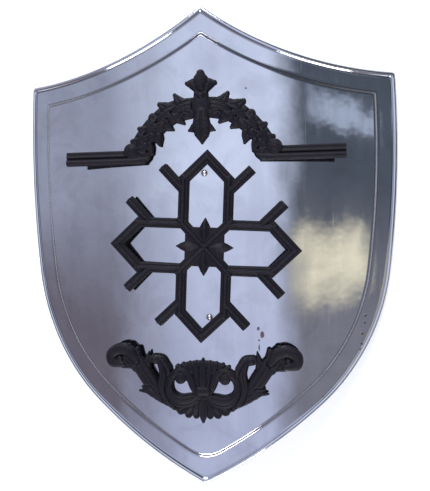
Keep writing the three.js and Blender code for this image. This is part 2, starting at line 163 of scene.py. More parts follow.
TOP_RISE = HEIGHT / 2 - SHOULDER_Y
TOP_RADIUS = (HALF_WIDTH ** 2 + TOP_RISE ** 2) / (2 * TOP_RISE)
TOP_CENTRE = np.array([HALF_WIDTH, SHOULDER_Y + TOP_RADIUS])
SIDE_CENTRE = np.array([HALF_WIDTH - SIDE_RADIUS, SIDE_CENTRE_Y])
HIP_CENTRE = on_arc(SIDE_CENTRE, SIDE_RADIUS, SIDE_SWEEP) + HIP_RADIUS * inwards(SIDE_SWEEP)
HIP_FOOT = on_arc(HIP_CENTRE, HIP_RADIUS, HIP_END)
TO_POINT = np.array([0.0, -HEIGHT / 2]) - HIP_FOOT
LOWER_RADIUS = (TO_POINT @ TO_POINT) / (2 * (TO_POINT @ inwards(HIP_END)))
LOWER_CENTRE = HIP_FOOT + LOWER_RADIUS * inwards(HIP_END)


def shoulder_at(inset):
    """Where the upper edge and the side meet, both set in by the same distance."""
    outer, inner = TOP_RADIUS + inset, SIDE_RADIUS - inset
    between = SIDE_CENTRE - TOP_CENTRE
    span = np.linalg.norm(between)
    along = (outer ** 2 - inner ** 2 + span ** 2) / (2 * span)
    off = math.sqrt(outer ** 2 - along ** 2)
    unit = between / span
    return TOP_CENTRE + along * unit + off * np.array([-unit[1], unit[0]])


def arc_between(centre, start, end, count=160):
    a, b = start - centre, end - centre
    sweep = math.atan2(a[0] * b[1] - a[1] * b[0], a @ b)
    turns = np.linspace(0.0, sweep, count)
    c, s = np.cos(turns), np.sin(turns)
    return centre + np.stack([c * a[0] - s * a[1], s * a[0] + c * a[1]], axis=1)


class Line:
    """A polyline read by distance along it."""

    def __init__(self, points):
        self.points = points
        steps = np.linalg.norm(np.diff(points, axis=0), axis=1)
        self.marks = np.concatenate([[0.0], np.cumsum(steps)])
        self.length = self.marks[-1]

    def at(self, distance):
        return np.stack([np.interp(distance, self.marks, self.points[:, k]) for k in (0, 1)], axis=-1)


def corner(start, tip, end, shares):
    """A rounded corner, read at shares from 0 at its start to 1 at its end."""
    t = np.asarray(shares)[:, None]
    return (1 - t) ** 2 * start + 2 * t * (1 - t) * tip + t ** 2 * end


def blend_round(sizes, inset):
    return sizes[0] + (sizes[1] - sizes[0]) * min(inset / BORDER, 1.0)


def half_ring(inset):
    """Right half of the outline set in by a distance, from the apex down to the point."""
    top_r, low_r = TOP_RADIUS + inset, LOWER_RADIUS - inset
    apex = np.array([0.0, TOP_CENTRE[1] - math.sqrt(top_r ** 2 - TOP_CENTRE[0] ** 2)])
    point = np.array([0.0, LOWER_CENTRE[1] - math.sqrt(low_r ** 2 - LOWER_CENTRE[0] ** 2)])
    shoulder = shoulder_at(inset)
    side_end = on_arc(SIDE_CENTRE, SIDE_RADIUS - inset, SIDE_SWEEP)
    hip_end = on_arc(HIP_CENTRE, HIP_RADIUS - inset, HIP_END)
    top = Line(arc_between(TOP_CENTRE, apex, shoulder))
    low = Line(np.concatenate([
        arc_between(SIDE_CENTRE, shoulder, side_end),
        arc_between(HIP_CENTRE, side_end, hip_end)[1:],
        arc_between(LOWER_CENTRE, hip_end, point)[1:],
    ]))
    apex_cut = blend_round(APEX_ROUND, inset)
    shoulder_cut = blend_round(SHOULDER_ROUND, inset)
    point_cut = blend_round(POINT_ROUND, inset)
    mirror = np.array([-1.0, 1.0])
    top_start, top_end = top.at(apex_cut), top.at(top.length - shoulder_cut)
    low_start, low_end = low.at(shoulder_cut), low.at(low.length - point_cut)
    ring = np.concatenate([
        corner(top_start * mirror, apex, top_start, np.linspace(0.5, 1.0, APEX_STEPS)),
        top.at(np.linspace(apex_cut, top.length - shoulder_cut, TOP_STEPS))[1:],
        corner(top_end, shoulder, low_start, np.linspace(0.0, 1.0, SHOULDER_STEPS))[1:],
        low.at(np.linspace(shoulder_cut, low.length - point_cut, SIDE_STEPS))[1:],
        corner(low_end, point, low_end * mirror, np.linspace(0.0, 0.5, POINT_STEPS))[1:],
    ])
    ring[0, 0] = 0.0
    ring[-1, 0] = 0.0
    return ring


# ---------------------------------------------------------------- plate, drawn flat

def bead_rows(start, end):
    """Rows round the rolled edge, as inset and height over the sheet's middle."""
    angles = np.linspace(start, end, BEAD_STEPS)
    return [(BEAD * (1 + math.cos(a)), BEAD * math.sin(a)) for a in angles]


def step_rows(height, count=8):
    """Rows up the pressed slope to the panel, with soft bends at its foot and its head."""
    rows = []
    for share in np.linspace(0.0, 1.0, count):
        rise = share * share * (3 - 2 * share)
        rows.append((BORDER - STEP_RUN * (1 - share), height + STEP_RISE * rise))
    return rows


def flat_plate():
    """The plate before it is bowed: a closed sheet, with height over its middle surface as z."""
    half_sheet = SHEET / 2
    face = bead_rows(math.pi, BEAD_GAP)
    face += [(inset, half_sheet) for inset in [CREASE] + LAND] + step_rows(half_sheet)
    face += [(PANEL_EDGE, half_sheet + STEP_RISE)]
    back = [(PANEL_EDGE, STEP_RISE - half_sheet)] + step_rows(-half_sheet)[::-1]
    back += [(inset, -half_sheet) for inset in LAND[::-1] + [CREASE]]
    back += bead_rows(2 * math.pi - BEAD_GAP, math.pi)[:-1]

    half = len(half_ring(0.0))
    around = 2 * half - 2
    points, faces, insets = [], [], []
    for inset, raise_ in face + back:
        insets += [inset] * around
        right = half_ring(inset)
        left = right[1:-1][::-1] * np.array([-1.0, 1.0])
        ring = np.concatenate([right, left])
        points.append(np.column_stack([ring, np.full(len(ring), raise_)]))
    points = [np.concatenate(points)]
    rings = len(face) + len(back)
    for ring in range(rings):
        if ring == len(face) - 1:
            continue
        here, ahead = ring * around, ((ring + 1) % rings) * around
        for k in range(around):
            after = (k + 1) % around
            faces.append((here + k, here + after, ahead + after, ahead + k)[::-1])

    count = rings * around

    def fill(ring, inset, raise_, faces_up):
        """Spans the panel inside a ring, row by row from its left side to its right."""
        nonlocal count
        outline = half_ring(inset)
        rows = []
        for k in range(half):
            right, left = ring * around + k, ring * around + (around - k) % around
            if right == left:
                rows.append([right] * (PANEL_STEPS + 1))
                continue
            shares = np.linspace(-1.0, 1.0, PANEL_STEPS + 1)[1:-1]
            inner = np.column_stack([
                outline[k, 0] * shares,
                np.full(len(shares), outline[k, 1]),
                np.full(len(shares), raise_),
            ])
            points.append(inner)
            rows.append([left, *range(count, count + len(shares)), right])
            count += len(shares)
        for upper, lower in zip(rows[:-1], rows[1:]):
            for c in range(PANEL_STEPS):
                quad = [upper[c], lower[c], lower[c + 1], upper[c + 1]]
                quad = list(dict.fromkeys(quad))
                faces.append(tuple(quad if faces_up else quad[::-1]))

    fill(len(face) - 1, *face[-1], True)
    fill(len(face), *back[0], False)
    insets += [PANEL_EDGE] * (count - len(insets))
    return np.concatenate(points), faces, insets


# ---------------------------------------------------------------- node trees

class Tree:
    """Short ways to add, set and join nodes."""

    def __init__(self, tree):
        self.tree = tree

    def add(self, kind, settings=None, **sockets):
        made = self.tree.nodes.new(kind)
        for key, value in (settings or {}).items():
            setattr(made, key, value)
        for key, value in sockets.items():
            self.put(made.inputs[key.replace("_", " ")], value)
        return made

    def put(self, socket, value):
        if isinstance(value, bpy.types.NodeSocket):
            self.tree.links.new(value, socket)
        else:
            socket.default_value = value

    def math(self, operation, a, b=0.0, clamp=False):
        made = self.tree.nodes.new("ShaderNodeMath")
        made.operation = operation
        made.use_clamp = clamp
        self.put(made.inputs[0], a)
        self.put(made.inputs[1], b)
        return made.outputs[0]

    def plus(self, a, b, clamp=False):
        return self.math("ADD", a, b, clamp)

    def less(self, a, b):
        return self.math("SUBTRACT", a, b)

    def times(self, a, b):
        return self.math("MULTIPLY", a, b)

    def over(self, a, b, clamp=False):
        return self.math("DIVIDE", a, b, clamp)


def new_geometry_tree(name, inputs):
    """An empty tree with its geometry sockets and its named sizes."""
    tree = bpy.data.node_groups.new(name, "GeometryNodeTree")
    tree.interface.new_socket("Geometry", in_out="INPUT", socket_type="NodeSocketGeometry")
    for title, (kind, value) in inputs.items():
        socket = tree.interface.new_socket(title, in_out="INPUT", socket_type=kind)
        socket.default_value = value
    tree.interface.new_socket("Geometry", in_out="OUTPUT", socket_type="NodeSocketGeometry")
    nodes = Tree(tree)
    return nodes, nodes.add("NodeGroupInput"), nodes.add("NodeGroupOutput")


def end_tree(nodes, shaped, out, material):
    """Makes real faces of what was shaped and gives them their finish."""
    real = nodes.add("GeometryNodeRealizeInstances", None, Geometry=shaped.outputs[0])
    coated = nodes.add("GeometryNodeSetMaterial", None, Geometry=real.outputs[0], Material=material)
    nodes.put(out.inputs[0], coated.outputs[0])
    return nodes.tree


def run_tree(piece, tree, **values):
    """Sets the tree's named inputs on a piece and turns the result into a plain mesh."""
    modifier = piece.modifiers.new("shape", "NODES")
    modifier.node_group = tree
    for item in tree.interface.items_tree:
        key = item.name.replace(" ", "_").lower()
        if item.in_out == "INPUT" and key in values:
            modifier[item.identifier] = values[key]
    bpy.context.view_layer.update()
    graph = bpy.context.evaluated_depsgraph_get()
    made = bpy.data.meshes.new_from_object(piece.evaluated_get(graph))
    piece.modifiers.remove(modifier)
    piece.data = made
    return piece


def bowing_tree(material):
    """Bends a flat sheet about its long axis and lets it stray a little, as pressed steel does."""
    number = "NodeSocketFloat"
    nodes, given, out = new_geometry_tree("bow_the_sheet", {
        "Bow radius": (number, 0.68),
        "Springing": (number, 0.63),
        "Lift": (number, 0.0),
        "Waviness": (number, 0.0),
        "Wave length": (number, 0.1),
    })
    radius = given.outputs["Bow radius"]
    place = nodes.add("GeometryNodeInputPosition").outputs[0]
    flat = nodes.add("ShaderNodeSeparateXYZ", None, Vector=place).outputs
    fall = nodes.math("SQRT", nodes.less(nodes.times(radius, radius), nodes.times(flat[0], flat[0])))
    share = nodes.over(nodes.plus(radius, flat[2]), radius)
    height = nodes.less(nodes.times(fall, share), given.outputs["Springing"])
    height = nodes.plus(height, given.outputs["Lift"])

    scale = nodes.over(1.0, given.outputs["Wave length"])
    under = nodes.add("ShaderNodeCombineXYZ", None, X=flat[0], Y=flat[1]).outputs[0]
    noise = nodes.add("ShaderNodeTexNoise", {"noise_dimensions": "3D"}, Vector=under, Scale=scale,
                      Detail=1.0)
    stray = nodes.less(noise.outputs[0], 0.5)
    stray = nodes.times(stray, given.outputs["Waviness"])
    inset = nodes.add("GeometryNodeInputNamedAttribute", {"data_type": "FLOAT"}, Name="inset")
    stray = nodes.times(stray, nodes.over(inset.outputs[0], BORDER, clamp=True))
    height = nodes.plus(height, stray)
    across = nodes.times(flat[0], share)
    bowed = nodes.add("ShaderNodeCombineXYZ", None, X=across, Y=flat[1], Z=height).outputs[0]
    moved = nodes.add("GeometryNodeSetPosition", None, Geometry=given.outputs[0], Position=bowed)
    return end_tree(nodes, moved, out, material)


def riveting_tree(material):
    """Sets copies of one rivet in a row."""
    nodes, given, out = new_geometry_tree("row_of_rivets", {
        "Count": ("NodeSocketInt", 2),
        "First": ("NodeSocketVector", (0.0, 0.0, 0.0)),
        "Spacing": ("NodeSocketVector", (0.0, 0.1, 0.0)),
    })
    row = nodes.add("GeometryNodeMeshLine", {"mode": "OFFSET"}, Count=given.outputs["Count"],
                    Start_Location=given.outputs["First"], Offset=given.outputs["Spacing"])
    copies = nodes.add("GeometryNodeInstanceOnPoints", None, Points=row.outputs[0],
                       Instance=given.outputs[0])
    return end_tree(nodes, copies, out, material)


# ---------------------------------------------------------------- carving the castings

def smooth_line(points, spacing=0.8, span_steps=24):
    """A Catmull-Rom curve through a few points, in even short steps."""
    p = np.asarray(points, float)
    if len(p) == 2:
        dense = p
    else:
        ends = np.concatenate([[2 * p[0] - p[1]], p, [2 * p[-1] - p[-2]]])
        t = np.linspace(0, 1, span_steps, endpoint=False)[:, None]
        spans = []
        for a, b, c, d in zip(ends[:-3], ends[1:-2], ends[2:-1], ends[3:]):
            spans.append(0.5 * (2 * b + (c - a) * t + (2 * a - 5 * b + 4 * c - d) * t ** 2
                                + (3 * b - 3 * c + d - a) * t ** 3))
        dense = np.concatenate(spans + [p[-1:]])
    line = Line(dense)
    count = max(int(line.length / spacing), 6)
    return line.at(np.linspace(0, line.length, count + 1))


def domed(u):
    return np.sqrt(np.clip(1 - u * u, 0, 1))


def rounded(height, u, across, along):
    return height * (0.5 + 0.5 * domed(u))


def level(height, u, across, along):
    return height


def ridged(height, u, across, along):
    """A spike: a straight fall to each side of its middle."""
    return height * (1 - 0.52 * u)


def leafy(height, u, across, along):
    """A leaf: two cheeks about a sunk midrib, with slanting veins."""
    cheeks = 0.52 + 0.48 * domed(u)
    midrib = 0.17 * np.exp(-(u / 0.15) ** 2)
    veins = 0.045 * np.cos(2 * math.pi * (6.5 * along - 1.1 * u)) * np.clip(u * 1.6, 0, 1)
    return height * (cheeks - midrib + veins)


def fluted(height, u, across, along):
    """A stem with lengthwise grooves."""
    body = 0.55 + 0.45 * domed(u)
    grooves = 0.085 * np.cos(2 * math.pi * 1.5 * u)
    return height * (body + grooves * np.clip(1.15 - u, 0, 1))


def hollowed(height, u, across, along):
    """A flute: a trough between two raised lips."""
    trough = 0.70 + 0.30 * np.clip(u, 0, 1) ** 1.6
    lip = np.clip((u - 0.80) / 0.20, 0, 1)
    return height * (trough - 0.40 * lip ** 2)


def between(value, *pairs):
    """Reads a section written as (place, height) pairs."""
    places, heights = zip(*pairs)
    return np.interp(value, places, heights)


def lattice_bar(half_width, lift=0.0):
    """The bars of the cross: chamfered edges, a flat web and a raised rib."""
    edge = half_width - 1.7

    def section(height, u, across, along):
        d = np.abs(across)
        return lift + between(d, (0, 7.05), (0.9, 6.95), (1.7, 6.5), (2.3, 4.75), (3.0, 4.45),
                              (edge - 0.2, 4.75), (edge + 0.2, 4.55), (half_width, 3.0))
    return section


def moulded_bar(height, u, across, along):
    """The arch's straight bars: a flat land, a small bead and a broad roll on the lower side."""
    land = between(across, (-9, 3.4), (-8.2, 4.1), (-4.6, 4.1), (-4.2, 3.7))
    bead = 3.6 + 2.0 * domed((across + 2.4) / 1.7)
    roll = 3.0 + 3.9 * domed((across - 4.7) / 4.3)
    shaped = np.where(across < -4.1, land, np.where(across < -0.7, bead, 3.0))
    return np.where(across > 0.4, roll, shaped)


class Relief:
    """A casting as heights on a fine grid, carved stroke by stroke and then cut out.

    Each section takes the height, how far out it is (u, from 0 to 1), the distance across the
    stroke and the share along it.
    """

    OUTSIDE = -9.0        # distance inside the edge, before anything is carved
    MARGIN = 2.5          # how far round a stroke the grid is worked on
    SKIRT = 1.6           # how far past its edge a stroke's height is kept, for the cut to read
    THINNEST = 1.2
    DOT = 0.02            # length of the stroke that makes a round knob
    PROUD_PASSES = 14     # how widely a height is compared with its surroundings
    PROUD_RISE = 0.9

    def __init__(self, low, high, step, fold):
        xs = np.arange(low[0] - 2 * step, high[0] + 2 * step, step)
        ys = np.arange(low[1] - 2 * step, high[1] + 2 * step, step)
        self.x, self.y = np.meshgrid(xs, ys, indexing="ij")
        self.fold_x, self.fold_y = fold(self.x, self.y)
        self.edge = np.full(self.x.shape, self.OUTSIDE)
        self.height = np.zeros(self.x.shape)
        self.step = step

    def stroke(self, points, widths, heights, shape=rounded, over=True, square=False,
               groove=(1.1, 1.5)):
        """Carves one bar, stem or leaf along a curve. over lays it on top of what is there."""
        line = smooth_line(points)
        tangent = np.gradient(line, axis=0)
        tangent /= np.linalg.norm(tangent, axis=1)[:, None]
        share = np.linspace(0, 1, len(line))
        half = np.interp(share, np.linspace(0, 1, len(widths)), widths)
        tall = np.interp(share, np.linspace(0, 1, len(heights)), heights)
        reach = half.max() + self.MARGIN
        low, high = line.min(0) - reach, line.max(0) + reach
        near = ((self.fold_x > low[0]) & (self.fold_x < high[0])
                & (self.fold_y > low[1]) & (self.fold_y < high[1]))
        px, py = self.fold_x[near], self.fold_y[near]
        dx, dy = px[:, None] - line[:, 0], py[:, None] - line[:, 1]
        k = np.argmin(np.hypot(dx, dy), axis=1)
        rows = np.arange(len(k))
        dx, dy = dx[rows, k], dy[rows, k]
        tx, ty = tangent[k, 0], tangent[k, 1]
        across = dx * ty - dy * tx
        ahead = dx * tx + dy * ty
        past = np.where(k == len(line) - 1, ahead, np.where(k == 0, -ahead, -1.0))
        if square:
            inside = np.minimum(half[k] - np.abs(across), np.where(past > 0, -past, np.inf))
            u = np.abs(across) / half[k]
        else:
            distance = np.where(past > 0, np.hypot(dx, dy), np.abs(across))
            inside = half[k] - distance
            u = distance / half[k]
        new = shape(tall[k], np.clip(u, 0, 1), across, share[k])
        old, edge = self.height[near], self.edge[near]
        within = inside > 0
        width, depth = groove
        ring = (inside <= 0) & (inside > -width) & (edge > 0)
        carved = old - np.where(ring & over, depth * (1 + inside / width) ** 2, 0)
        raised = np.where(within, new if over else np.maximum(old, new), carved)
        skirt = (~within) & (edge <= 0) & (inside > -self.SKIRT)
        self.height[near] = np.where(skirt, np.maximum(raised, new), raised)
        self.edge[near] = np.maximum(edge, inside)

    def leaf(self, base, middle, tip, widths, height):
        """A leaf carved over what is there, falling from its middle to its tip."""
        self.stroke([base, middle, tip], widths, [0.9 * height, height, 0.86 * height, 0.6 * height],
                    leafy, groove=(0.9, 1.3))

    def knob(self, x, y, radius, height, foot=0.55):
        """A round bud or boss, with a groove about its foot."""
        def ball(tall, u, across, along):
            return tall * (foot + (1 - foot) * domed(u))
        self.stroke([(x, y), (x, y + self.DOT)], [radius, radius], [height, height], ball)

    def blurred(self, field, passes):
        known = (self.height > 0).astype(float)
        value = field * known
        weight = known.copy()
        for _ in range(passes):
            for axis in (0, 1):
                value = (np.roll(value, 1, axis) + 2 * value + np.roll(value, -1, axis)) / 4
                weight = (np.roll(weight, 1, axis) + 2 * weight + np.roll(weight, -1, axis)) / 4
        return np.where(known > 0, value / np.maximum(weight, 1e-6), 0)

    def solid(self, roll=(1.3, 1.0), soften=2):
        """Cuts the casting out along its edge, with upright walls and a flat back."""
        height = self.blurred(self.height, soften)
        width, drop = roll
        height = height - drop * (1 - np.clip(self.edge / width, 0, 1)) ** 2
        height = np.maximum(height, self.THINNEST)
        around = self.blurred(height, self.PROUD_PASSES)
        proud = np.clip((height - around) / self.PROUD_RISE, -1, 1)

        inside = self.edge > 0
        ids = np.full(inside.shape, -1)
        ids[inside] = np.arange(inside.sum())
        columns = [np.stack([self.x, self.y, height, proud], axis=-1)]
        vertices = [columns[0][inside]]
        count = len(vertices[0])
        crossings = []
        for axis in (0, 1):
            first = (slice(None, -1), slice(None)) if axis == 0 else (slice(None), slice(None, -1))
            second = (slice(1, None), slice(None)) if axis == 0 else (slice(None), slice(1, None))
            cut = inside[first] != inside[second]
            a, b = self.edge[first][cut], self.edge[second][cut]
            t = np.clip(a / (a - b), 0.08, 0.92)[:, None]
            vertices.append(columns[0][first][cut] * (1 - t) + columns[0][second][cut] * t)
            made = np.full(cut.shape, -1)
            made[cut] = count + np.arange(cut.sum())
            count += cut.sum()
            crossings.append(made)
        vertices = np.concatenate(vertices)

        corners = [ids[:-1, :-1], ids[1:, :-1], ids[1:, 1:], ids[:-1, 1:]]
        sides = [crossings[0][:, :-1], crossings[1][1:, :], crossings[0][:, 1:], crossings[1][:-1, :]]
        kind = sum((c >= 0).astype(int) << k for k, c in enumerate(corners))
        faces = []
        for case in range(1, 16):
            cells = kind == case
            if not cells.any():
                continue
            held = [(case >> k) & 1 for k in range(4)]
            walk = []
            for k in range(4):
                if held[k]:
                    walk.append((corners[k][cells], False))
                if held[k] != held[(k + 1) % 4]:
                    walk.append((sides[k][cells], True))
            loop = np.stack([w[0] for w in walk], axis=1)
            faces += loop.tolist()
            faces += (loop[:, ::-1] + count).tolist()
            for k, (start, on_edge) in enumerate(walk):
                end, next_on_edge = walk[(k + 1) % len(walk)]
                if on_edge and next_on_edge:
                    faces += np.stack([end, start, start + count, end + count], axis=1).tolist()
        under = vertices.copy()
        under[:, 2] = 0.0
        return np.concatenate([vertices, under]), faces


def fold_half(x, y):
    return np.abs(x), y


def fold_eighth(x, y):
    return np.minimum(np.abs(x), np.abs(y)), np.maximum(np.abs(x), np.abs(y))


def cast(name, relief, place, node, material, **finish):
    vertices, faces = relief.solid(**finish)
    piece = make_mesh(name, settle(vertices[:, :3], place, back_of(node)), faces)
    mark(piece, "proud", vertices[:, 3])
    finish_piece(piece, material, "black_iron", node)
    return piece


def carve_cross():
    """Four arms of ribbed bars about a four-pointed star."""
    track, bend, past_tip, web = 28.8, 85.0, 8.0, 24.7
    half, stub, stub_foot, stub_run = 6.5, 6.2, 71.0, 28.6
    mitre = half * math.tan(math.radians(22.5))
    slant = math.sqrt(0.5)
    cross = Relief((-125, -125), (125, 125), 0.6, fold_eighth)

    def bar(start, end, half_width, lift=0.0):
        cross.stroke([start, end], [half_width] * 2, [7, 7], lattice_bar(half_width, lift),
                     over=False, square=True)

    cross.stroke([(0, 0), (0, web)], [web, web], [4.8, 4.8], level, over=False, square=True)
    bar((0, 0), (track + 6, track + 6), stub, 0.9)
    bar((track, track - half), (track, bend + mitre), half)
    bar((track + mitre * slant, bend - mitre * slant), (-past_tip, bend + track + past_tip), half)
    bar((track, stub_foot), (track + stub_run, stub_foot + stub_run), stub)
    cross.stroke([(0, 8), (0, 24), (0, 37)], [3.5, 6.6, 7.4, 4.4, 0.3], [6.5, 8.0, 8.6, 6.6, 3.4],
                 ridged, over=False)
    return cross


def carve_arch():
    """Moulded bars that run in under a garland of leaves, with a finial and a pendant."""
    arch = Relief((-179, 105), (179, 226), 0.6, fold_half)
    arch.stroke([(74, 117.5), (177.5, 117.5)], [9, 9], [7, 7], moulded_bar, square=True)

    # Band under the leaves.
    band = [(85, 122), (79, 134.5), (69.5, 147), (56, 160), (35, 173.5), (0, 178.5)]
    arch.stroke(band, [10, 11.4, 12.6, 13.6, 13.2, 12], [5.8, 6, 6.2, 6.4, 6.4, 6.4], rounded)
    # The bar's roll turns up into the band's foot.
    arch.stroke([(98, 112.9), (81, 113), (72, 116), (67.5, 121.5)], [4.3, 4.3, 4.3, 3.0],
                [6.9, 6.9, 6.8, 5.6], rounded, over=False)

    # Leaves on the inner side, then the outer side, from the foot up to the crown.
    for leaf in [((80, 128), (74, 121.5), (68.5, 119), [5, 5.5, 4.2, 2.0]),
                 ((74, 140), (68, 130), (64.6, 122), [7, 7.5, 5.4, 2.0]),
                 ((63, 151), (57.5, 142), (54, 132.4), [8, 8.6, 6.4, 2.2]),
                 ((52, 160), (45, 156.5), (37.4, 151.4), [7, 7.5, 5.4, 2.0]),
                 ((38, 170), (30, 165), (22.6, 158.4), [7, 7.5, 5.2, 2.0]),
                 ((22, 175), (13, 171.6), (9, 168), [6, 6.5, 5.4, 3.0])]:
        arch.leaf(*leaf, 7.4)
    for leaf in [((76, 131), (84, 136.5), (89.6, 138), [7, 8, 6.4, 3.2]),
                 ((66, 144), (73, 150), (80, 153.6), [8, 9, 7.2, 3.2]),
                 ((55, 156), (59.5, 162), (62.4, 167), [9, 10, 8.6, 6.0]),
                 ((36, 170), (45, 178), (53, 183), [9, 10, 7.6, 3.6]),
                 ((12, 178), (25, 183), (33.6, 194), [9, 9, 6.6, 2.6])]:
        arch.leaf(*leaf, 8.0)

    # Overlapping leaves along the middle of the band, each pointing down from the crown.
    for leaf in [((68, 149), (77, 139.5), (83, 130), [5, 6.2, 4.6, 1.2]),
                 ((53, 164), (63, 155.5), (72, 145.5), [5, 6.4, 4.8, 1.2]),
                 ((33, 176), (45, 170), (57, 160), [5, 6.6, 5, 1.2]),
                 ((6, 180), (22, 178), (38, 172), [5, 6.6, 5, 1.2])]:
        arch.leaf(*leaf, 8.8)
    for x, y, radius in [(70, 139, 2.2), (60, 150, 2.4), (43, 161, 2.4), (24, 168, 2.4)]:
        arch.knob(x, y, radius, 8.8)

    # Bosses where the bars meet the garland, each a disc with a turned centre.
    arch.knob(91, 125.5, 9.6, 7.8, 0.66)
    arch.knob(91, 125.5, 5.4, 8.8, 0.86)
    arch.knob(91, 125.5, 2.2, 8.9, 0.94)

    # Finial: a neck, two broad petals and a round bud.
    arch.stroke([(0, 180), (0, 200)], [12, 9.4, 8.6], [7, 7, 7.4], rounded)
    arch.stroke([(1, 204), (9, 206.4), (17.6, 207.8)], [8.6, 8.8, 6.4, 2.8], [7.4, 8.0, 6.6, 5.4],
                rounded, groove=(0.8, 0.6))
    arch.stroke([(0, 203), (0, 219.2)], [6, 8.8, 9.4, 8.4, 5.0], [8.3, 8.9, 8.8], rounded,
                groove=(0.8, 0.6))
    arch.knob(0, 191.5, 5.0, 9.2)

    # Pendant: a broad pointed bud with a small leaf at each side.
    arch.stroke([(3, 155), (10, 151.8), (17, 148.6)], [7, 5.6, 0.9], [6.8, 6.6, 4.2], leafy,
                groove=(0.8, 0.8))
    arch.stroke([(0, 170), (0, 150), (0, 133)], [8, 10.6, 11.4, 8.8, 1.6],
                [7.4, 8.4, 8.8, 7.6, 5.0], leafy)
    return arch


def carve_scroll():
    """Acanthus scrolls spreading from a shell: volutes, curling leaves, and a fluted fan below."""
    scroll = Relief((-128, -226), (128, -117), 0.55, fold_half)

    # Fan of flutes under the waist, outermost first.
    scroll.stroke([(2, -200), (20, -203), (32, -203)], [12, 11, 7], [5.4, 5.4, 5.4], rounded)
    flutes = [((8, -191), (24, -200), (37, -202.5)), ((7, -191), (19, -203), (29, -208.5)),
              ((5, -191), (13, -205), (19, -213)), ((3, -191), (6.5, -205), (9, -214.5)),
              ((0, -191), (0, -208), (0, -222))]
    for flute, tip in zip(flutes, (5.6, 5.4, 4.8, 4.0, 2.0)):
        scroll.stroke(flute, [3.2, 5.4, 6.2, tip], [8.4, 8, 7.4, 5.6], hollowed, groove=(0.9, 1.5))

    # Outer stem, with its lower leaf and the humps of its back, rising to the volute.
    for points, widths, heights in [
            ([(75, -162), (73, -148), (70, -132.5)], [6, 6.2, 4.0, 0.8], [7.2, 7.4, 6, 4.4]),
            ([(86, -152), (87, -140), (86, -130)], [8, 8.6, 6.4, 3.4], [7.2, 7.6, 7, 5.6]),
            ([(95, -146), (97, -136), (97.5, -126)], [8, 9, 6.4, 4.0], [7.4, 8, 7.4, 6]),
            ([(110, -147), (102, -149.5), (94.5, -152)], [6, 6, 3.6], [6.4, 6.4, 5])]:
        scroll.stroke(points, widths, heights, leafy)
    scroll.stroke([(40, -199), (60, -182), (72, -166), (82, -151), (94, -138)],
                  [5, 8, 10, 10, 8.2], [7, 7.8, 8.4, 8.6, 8.2], fluted)
    scroll.stroke([(87, -144), (96, -132.6), (108, -129.6), (119, -136), (118, -146), (105, -149)],
                  [5.6, 7.4, 7.6, 7.2, 7, 4.4], [8, 8.8, 9.2, 9.2, 8.8, 8.2], rounded)
    scroll.knob(108.5, -141.6, 4.0, 8.4, 0.7)

    scroll.stroke([(60, -184.5), (70, -180), (79, -178.6)], [3.4, 4.4, 1.8], [7.6, 7.2, 5], rounded)
    scroll.stroke([(40, -202), (56, -192.5), (70, -184.5), (83.4, -184)], [3.6, 5.0, 5.4, 1.2],
                  [7.2, 7.6, 7.2, 4.6], leafy)

    # Crown leaves over the middle, on a low shell.
    scroll.stroke([(34, -161), (24, -154), (12, -151), (0, -151)], [6.4, 6.4, 6.6, 7.4], [6, 6, 6, 6],
                  rounded)
    for crown in [((20, -166), (27, -158), (33.5, -151.5)), ((14, -168), (20, -158), (26, -148.6)),
                  ((9, -172), (13.5, -159), (17.5, -147)), ((5, -175), (7.6, -160), (9, -145.8))]:
        scroll.stroke(crown, [3.6, 4.6, 4.8, 2.6], [7.8, 7.8, 7.2, 5.2], leafy, groove=(0.9, 1.4))
    scroll.stroke([(0, -178), (0, -160), (0, -141.6)], [4.6, 5.6, 5.2, 1.6], [8.6, 8.4, 7.8, 5.2], leafy)

    # Inner leaf, curling out over a drop-shaped opening to the spike beside the stem.
    scroll.stroke([(45, -197), (52, -178), (49.6, -160), (54, -145), (65, -142)],
                  [6, 6.6, 7.2, 7, 5.2], [7.4, 8.2, 8.8, 8.2, 7], fluted)
    scroll.stroke([(43.4, -168), (44.6, -155), (52, -143.6)], [2.0, 3.6, 3.0], [7, 8.8, 7.8], rounded)
    scroll.knob(61.5, -142.4, 5.2, 8.0, 0.66)

    # C-scroll round its open eye, with a round bud hanging into it.
    scroll.stroke([(5, -189), (12.4, -177), (17, -164.5), (26, -158), (36, -160.5), (43.4, -171),
                   (42.6, -186), (31, -195.6), (16, -194), (6, -188)],
                  [4, 4.6, 5.4, 5.8, 5, 4.6, 5.8, 8, 8, 5.4],
                  [7.6, 8.2, 8.4, 8, 7.6, 7.4, 7.8, 8.4, 8.4, 7.8], fluted)
    scroll.stroke([(39, -163), (33, -161), (28.6, -165)], [3.6, 5.2, 6.2], [7.2, 8, 8], rounded)
    scroll.knob(28.6, -166, 7.2, 8.8, 0.66)
    scroll.knob(28.6, -166, 3.6, 9.0, 0.84)

    # Knot at the waist.
    scroll.stroke([(-4.6, -182), (4.6, -182)], [6.4, 6.4], [8.7, 8.7], rounded, groove=(1.2, 1.6))
    return scroll


# ---------------------------------------------------------------- grip and rivets

def bent_line(corners, radius, steps=6):
    """A polyline with each inner corner turned on a radius."""
    points = [np.array(corners[0], float)]
    for before, here, after in zip(corners[:-2], corners[1:-1], corners[2:]):
        before, here, after = (np.array(p, float) for p in (before, here, after))
        into, out = here - before, after - here
        into, out = into / np.linalg.norm(into), out / np.linalg.norm(out)
        cut = radius * math.tan(math.acos(np.clip(into @ out, -1, 1)) / 2)
        points += list(corner(here - cut * into, here, here + cut * out, np.linspace(0, 1, steps)))
    points.append(np.array(corners[-1], float))
    return np.array(points)


